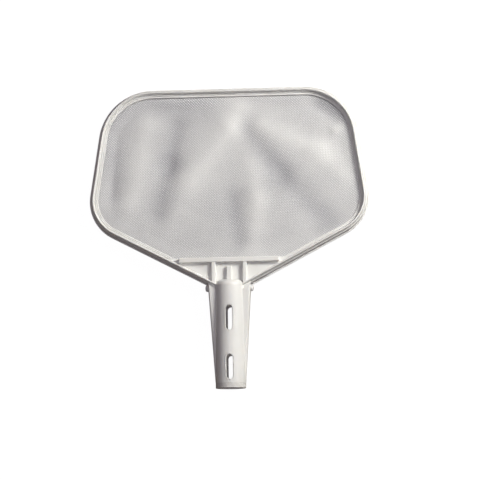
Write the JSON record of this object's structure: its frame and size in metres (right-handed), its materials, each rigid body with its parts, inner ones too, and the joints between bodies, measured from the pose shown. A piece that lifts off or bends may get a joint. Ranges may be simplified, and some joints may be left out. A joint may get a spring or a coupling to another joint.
{
  "type": "leaf skimmer net",
  "caption": "Flat leaf skimmer for a pool: a moulded five-sided rim with a clamped woven net, on a slotted socket handle with squeeze-release levers.",
  "frame": {"origin": "centre of the handle's mouth on the bore's axis", "axes": "+Y along the bore from the mouth towards the net, +Z out of the front face, +X to the right"},
  "size_m": [0.3464, 0.3741, 0.0378],
  "materials": {
    "rim_plastic": "satin moulded",
    "ring_plastic": "satin moulded",
    "handle_plastic": "satin moulded",
    "collar_plastic": "satin moulded",
    "lever_plastic": "satin moulded",
    "net_mesh": "fine plain weave",
    "steel": "stainless"
  },
  "bodies": {
    "skimmer": {"rim_frame": "rim_plastic", "rim_back_ring": "rim_plastic", "net_ring": "ring_plastic", "net": "net_mesh", "handle": "handle_plastic", "mouth_collar": "collar_plastic", "throat_screws": "steel", "pivot_pin_right": "steel", "pivot_pin_left": "steel", "button_spring_right": "steel", "button_spring_left": "steel", "pocket_cover_right": "handle_plastic", "pocket_cover_left": "handle_plastic"},
    "lever_right": {"release_lever_right": "lever_plastic"},
    "lever_left": {"release_lever_left": "lever_plastic"}
  },
  "joints": [
    {"name": "release_right", "type": "hinge", "parent": "skimmer", "child": "lever_right", "pos_m": [0.0212, 0.103, 0], "axis": [0, 0, 1], "range_deg": [0, 9], "stiffness_Nm_per_rad": 0.98, "springref_deg": -6.3, "deforming": ["button_spring_right"]},
    {"name": "release_left", "type": "hinge", "parent": "skimmer", "child": "lever_left", "pos_m": [-0.0212, 0.103, 0], "axis": [0, 0, -1], "range_deg": [0, 9], "stiffness_Nm_per_rad": 0.98, "springref_deg": -6.3, "deforming": ["button_spring_left"]}
  ]
}
